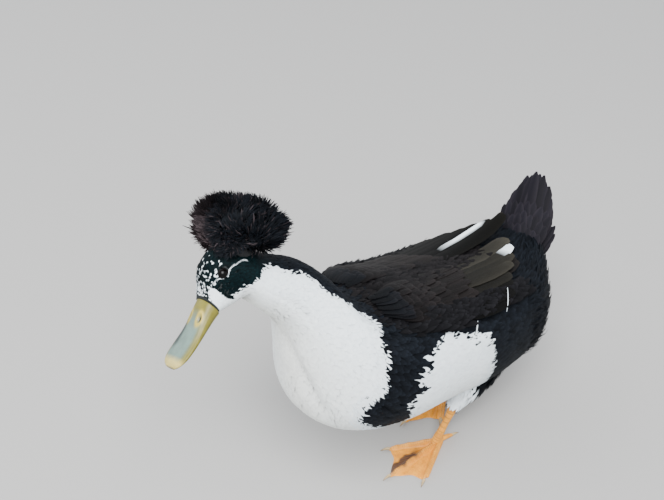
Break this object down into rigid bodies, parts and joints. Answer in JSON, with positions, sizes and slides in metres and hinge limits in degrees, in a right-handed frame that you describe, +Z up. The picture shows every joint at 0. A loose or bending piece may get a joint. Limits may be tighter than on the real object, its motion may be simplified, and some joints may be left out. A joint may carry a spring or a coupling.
{
  "type": "crested duck model",
  "caption": "Life-size still model of a standing crested duck with a round feather crest, folded wings, raised tail and webbed feet.",
  "frame": {"origin": "middle of the bounding box's underside, on the floor that the feet rest on", "axes": "+Z up, the duck faces -Y, its left side is +X"},
  "size_m": [0.1802, 0.4996, 0.3558],
  "materials": {
    "plumage_white": "soft white body feathers, matt",
    "plumage_dark": "black-brown feathers with a faint green and violet gloss",
    "bill": "smooth pale grey-green and olive-yellow horn",
    "eye": "wet, dark brown",
    "leg": "orange scaly skin with a few grey-brown patches",
    "claw": "pale horn"
  },
  "bodies": {
    "root": {"torso": "plumage_white", "neck": "plumage_white", "head": "plumage_dark", "crest": "plumage_dark", "bill_upper": "bill", "bill_lower": "bill", "eye_left": "eye", "eye_right": "eye", "wing_left": "plumage_dark", "wing_right": "plumage_dark", "tail": "plumage_dark", "thigh_left": "plumage_white", "thigh_right": "plumage_white", "shank_left": "leg", "shank_right": "leg", "foot_left": "leg", "foot_right": "leg", "claw_left_1": "claw", "claw_left_2": "claw", "claw_left_3": "claw", "claw_left_4": "claw", "claw_right_1": "claw", "claw_right_2": "claw", "claw_right_3": "claw", "claw_right_4": "claw"}
  },
  "joints": []
}
